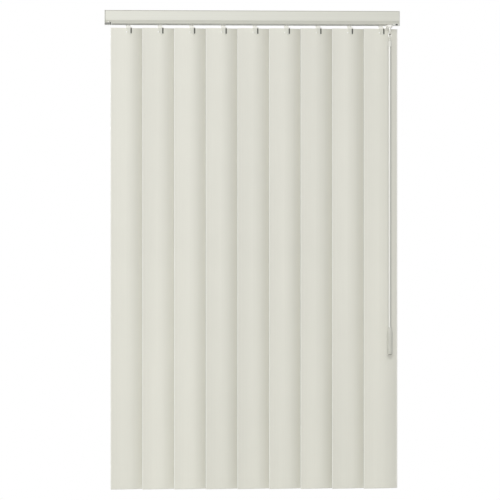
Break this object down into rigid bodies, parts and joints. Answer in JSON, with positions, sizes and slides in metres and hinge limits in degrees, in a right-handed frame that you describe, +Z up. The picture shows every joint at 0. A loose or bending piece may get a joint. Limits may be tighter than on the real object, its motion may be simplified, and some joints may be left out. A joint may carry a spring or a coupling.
{
  "type": "vertical blind",
  "caption": "Vertical blind with curved vanes hung from sliding carriers in a ceiling headrail, drawn aside and tilted with one hanging wand.",
  "frame": {"origin": "on the ceiling plane, midway between the two ceiling clips' screw holes, at the middle of the headrail", "axes": "+Z up, +X to the right along the headrail, +Y from the room side to the window"},
  "size_m": [0.7456, 0.079, 1.2085],
  "materials": {
    "rail_paint": "satin off-white paint",
    "cap_plastic": "satin",
    "spring_steel": "rolled",
    "rod_aluminium": "extruded",
    "carrier_acetal": "moulded",
    "stem_plastic": "moulded",
    "vane_pvc": "satin embossed",
    "wand_acrylic": "polished",
    "grip_plastic": "moulded"
  },
  "bodies": {
    "rail_unit": {"headrail": "rail_paint", "end_cap_left": "cap_plastic", "end_cap_right": "cap_plastic", "bracket_left": "spring_steel", "bracket_right": "spring_steel", "anchor_strip": "spring_steel", "carrier_1": "carrier_acetal", "spacer_1": "spring_steel"},
    "carrier_unit_2": {"carrier_2": "carrier_acetal", "spacer_2": "spring_steel"},
    "carrier_unit_3": {"carrier_3": "carrier_acetal", "spacer_3": "spring_steel"},
    "carrier_unit_4": {"carrier_4": "carrier_acetal", "spacer_4": "spring_steel"},
    "carrier_unit_5": {"carrier_5": "carrier_acetal", "spacer_5": "spring_steel"},
    "carrier_unit_6": {"carrier_6": "carrier_acetal", "spacer_6": "spring_steel"},
    "carrier_unit_7": {"carrier_7": "carrier_acetal", "spacer_7": "spring_steel"},
    "carrier_unit_8": {"carrier_8": "carrier_acetal", "spacer_8": "spring_steel"},
    "lead_unit": {"carrier_9": "carrier_acetal", "wand_carrier": "stem_plastic"},
    "vane_unit_1": {"stem_1": "stem_plastic", "vane_1": "vane_pvc"},
    "vane_unit_2": {"stem_2": "stem_plastic", "vane_2": "vane_pvc"},
    "vane_unit_3": {"stem_3": "stem_plastic", "vane_3": "vane_pvc"},
    "vane_unit_4": {"stem_4": "stem_plastic", "vane_4": "vane_pvc"},
    "vane_unit_5": {"stem_5": "stem_plastic", "vane_5": "vane_pvc"},
    "vane_unit_6": {"stem_6": "stem_plastic", "vane_6": "vane_pvc"},
    "vane_unit_7": {"stem_7": "stem_plastic", "vane_7": "vane_pvc"},
    "vane_unit_8": {"stem_8": "stem_plastic", "vane_8": "vane_pvc"},
    "vane_unit_9": {"stem_9": "stem_plastic", "vane_9": "vane_pvc"},
    "worm_unit_1": {"worm_1": "carrier_acetal"},
    "worm_unit_2": {"worm_2": "carrier_acetal"},
    "worm_unit_3": {"worm_3": "carrier_acetal"},
    "worm_unit_4": {"worm_4": "carrier_acetal"},
    "worm_unit_5": {"worm_5": "carrier_acetal"},
    "worm_unit_6": {"worm_6": "carrier_acetal"},
    "worm_unit_7": {"worm_7": "carrier_acetal"},
    "worm_unit_8": {"worm_8": "carrier_acetal"},
    "worm_unit_9": {"worm_9": "carrier_acetal"},
    "rod_unit": {"tilt_rod": "rod_aluminium"},
    "wand_drive": {"wand_stem": "stem_plastic"},
    "wand": {"wand_eye": "stem_plastic", "wand_shaft": "wand_acrylic", "wand_grip": "grip_plastic"}
  },
  "joints": [
    {"name": "traverse", "type": "slide", "parent": "rail_unit", "child": "lead_unit", "axis": [-1, 0, 0], "range_m": [0, 0.504]},
    {"name": "carrier_slide_2", "type": "slide", "parent": "rail_unit", "child": "carrier_unit_2", "axis": [-1, 0, 0], "range_m": [0, 0.063]},
    {"name": "carrier_slide_3", "type": "slide", "parent": "rail_unit", "child": "carrier_unit_3", "axis": [-1, 0, 0], "range_m": [0, 0.126]},
    {"name": "carrier_slide_4", "type": "slide", "parent": "rail_unit", "child": "carrier_unit_4", "axis": [-1, 0, 0], "range_m": [0, 0.189]},
    {"name": "carrier_slide_5", "type": "slide", "parent": "rail_unit", "child": "carrier_unit_5", "axis": [-1, 0, 0], "range_m": [0, 0.252]},
    {"name": "carrier_slide_6", "type": "slide", "parent": "rail_unit", "child": "carrier_unit_6", "axis": [-1, 0, 0], "range_m": [0, 0.315]},
    {"name": "carrier_slide_7", "type": "slide", "parent": "rail_unit", "child": "carrier_unit_7", "axis": [-1, 0, 0], "range_m": [0, 0.378]},
    {"name": "carrier_slide_8", "type": "slide", "parent": "rail_unit", "child": "carrier_unit_8", "axis": [-1, 0, 0], "range_m": [0, 0.441]},
    {"name": "tilt", "type": "hinge", "parent": "rail_unit", "child": "vane_unit_1", "pos_m": [-0.3136, 0, -0.024], "axis": [0, 0, 1], "range_deg": [0, 156]},
    {"name": "vane_tilt_2", "type": "hinge", "parent": "carrier_unit_2", "child": "vane_unit_2", "pos_m": [-0.2336, 0, -0.024], "axis": [0, 0, 1], "range_deg": [0, 156]},
    {"name": "vane_tilt_3", "type": "hinge", "parent": "carrier_unit_3", "child": "vane_unit_3", "pos_m": [-0.1536, 0, -0.024], "axis": [0, 0, 1], "range_deg": [0, 156]},
    {"name": "vane_tilt_4", "type": "hinge", "parent": "carrier_unit_4", "child": "vane_unit_4", "pos_m": [-0.0736, 0, -0.024], "axis": [0, 0, 1], "range_deg": [0, 156]},
    {"name": "vane_tilt_5", "type": "hinge", "parent": "carrier_unit_5", "child": "vane_unit_5", "pos_m": [0.0064, 0, -0.024], "axis": [0, 0, 1], "range_deg": [0, 156]},
    {"name": "vane_tilt_6", "type": "hinge", "parent": "carrier_unit_6", "child": "vane_unit_6", "pos_m": [0.0864, 0, -0.024], "axis": [0, 0, 1], "range_deg": [0, 156]},
    {"name": "vane_tilt_7", "type": "hinge", "parent": "carrier_unit_7", "child": "vane_unit_7", "pos_m": [0.1664, 0, -0.024], "axis": [0, 0, 1], "range_deg": [0, 156]},
    {"name": "vane_tilt_8", "type": "hinge", "parent": "carrier_unit_8", "child": "vane_unit_8", "pos_m": [0.2464, 0, -0.024], "axis": [0, 0, 1], "range_deg": [0, 156]},
    {"name": "vane_tilt_9", "type": "hinge", "parent": "lead_unit", "child": "vane_unit_9", "pos_m": [0.3264, 0, -0.024], "axis": [0, 0, 1], "range_deg": [0, 156]},
    {"name": "worm_turn_1", "type": "hinge", "parent": "rail_unit", "child": "worm_unit_1", "pos_m": [-0.3136, 0.00878, -0.024], "axis": [1, 0, 0], "range_deg": [0, 1872.01]},
    {"name": "worm_turn_2", "type": "hinge", "parent": "carrier_unit_2", "child": "worm_unit_2", "pos_m": [-0.2336, 0.00878, -0.024], "axis": [1, 0, 0], "range_deg": [0, 1872.01]},
    {"name": "worm_turn_3", "type": "hinge", "parent": "carrier_unit_3", "child": "worm_unit_3", "pos_m": [-0.1536, 0.00878, -0.024], "axis": [1, 0, 0], "range_deg": [0, 1872.01]},
    {"name": "worm_turn_4", "type": "hinge", "parent": "carrier_unit_4", "child": "worm_unit_4", "pos_m": [-0.0736, 0.00878, -0.024], "axis": [1, 0, 0], "range_deg": [0, 1872.01]},
    {"name": "worm_turn_5", "type": "hinge", "parent": "carrier_unit_5", "child": "worm_unit_5", "pos_m": [0.0064, 0.00878, -0.024], "axis": [1, 0, 0], "range_deg": [0, 1872.01]},
    {"name": "worm_turn_6", "type": "hinge", "parent": "carrier_unit_6", "child": "worm_unit_6", "pos_m": [0.0864, 0.00878, -0.024], "axis": [1, 0, 0], "range_deg": [0, 1872.01]},
    {"name": "worm_turn_7", "type": "hinge", "parent": "carrier_unit_7", "child": "worm_unit_7", "pos_m": [0.1664, 0.00878, -0.024], "axis": [1, 0, 0], "range_deg": [0, 1872.01]},
    {"name": "worm_turn_8", "type": "hinge", "parent": "carrier_unit_8", "child": "worm_unit_8", "pos_m": [0.2464, 0.00878, -0.024], "axis": [1, 0, 0], "range_deg": [0, 1872.01]},
    {"name": "worm_turn_9", "type": "hinge", "parent": "lead_unit", "child": "worm_unit_9", "pos_m": [0.3264, 0.00878, -0.024], "axis": [1, 0, 0], "range_deg": [0, 1872.01]},
    {"name": "rod_turn", "type": "hinge", "parent": "rail_unit", "child": "rod_unit", "pos_m": [0, 0.00878, -0.024], "axis": [1, 0, 0], "range_deg": [0, 1872.01]},
    {"name": "wand_turn", "type": "hinge", "parent": "lead_unit", "child": "wand_drive", "pos_m": [0.3446, -0.052, -0.06864], "axis": [0, 0, 1], "range_deg": [0, 720.01]},
    {"name": "wand_swing", "type": "hinge", "parent": "wand_drive", "child": "wand", "pos_m": [0.3446, -0.052, -0.06864], "axis": [-1, 0, 0], "range_deg": [0, 60]}
  ],
  "couplings": [
    {"joint": "carrier_slide_2", "follows": "traverse", "ratio": 0.125},
    {"joint": "carrier_slide_3", "follows": "traverse", "ratio": 0.25},
    {"joint": "carrier_slide_4", "follows": "traverse", "ratio": 0.375},
    {"joint": "carrier_slide_5", "follows": "traverse", "ratio": 0.5},
    {"joint": "carrier_slide_6", "follows": "traverse", "ratio": 0.625},
    {"joint": "carrier_slide_7", "follows": "traverse", "ratio": 0.75},
    {"joint": "carrier_slide_8", "follows": "traverse", "ratio": 0.875},
    {"joint": "vane_tilt_2", "follows": "tilt", "ratio": 1},
    {"joint": "vane_tilt_3", "follows": "tilt", "ratio": 1},
    {"joint": "vane_tilt_4", "follows": "tilt", "ratio": 1},
    {"joint": "vane_tilt_5", "follows": "tilt", "ratio": 1},
    {"joint": "vane_tilt_6", "follows": "tilt", "ratio": 1},
    {"joint": "vane_tilt_7", "follows": "tilt", "ratio": 1},
    {"joint": "vane_tilt_8", "follows": "tilt", "ratio": 1},
    {"joint": "vane_tilt_9", "follows": "tilt", "ratio": 1},
    {"joint": "worm_turn_1", "follows": "tilt", "ratio": 12},
    {"joint": "worm_turn_2", "follows": "tilt", "ratio": 12},
    {"joint": "worm_turn_3", "follows": "tilt", "ratio": 12},
    {"joint": "worm_turn_4", "follows": "tilt", "ratio": 12},
    {"joint": "worm_turn_5", "follows": "tilt", "ratio": 12},
    {"joint": "worm_turn_6", "follows": "tilt", "ratio": 12},
    {"joint": "worm_turn_7", "follows": "tilt", "ratio": 12},
    {"joint": "worm_turn_8", "follows": "tilt", "ratio": 12},
    {"joint": "worm_turn_9", "follows": "tilt", "ratio": 12},
    {"joint": "rod_turn", "follows": "tilt", "ratio": 12},
    {"joint": "wand_turn", "follows": "tilt", "ratio": 4.6154}
  ]
}
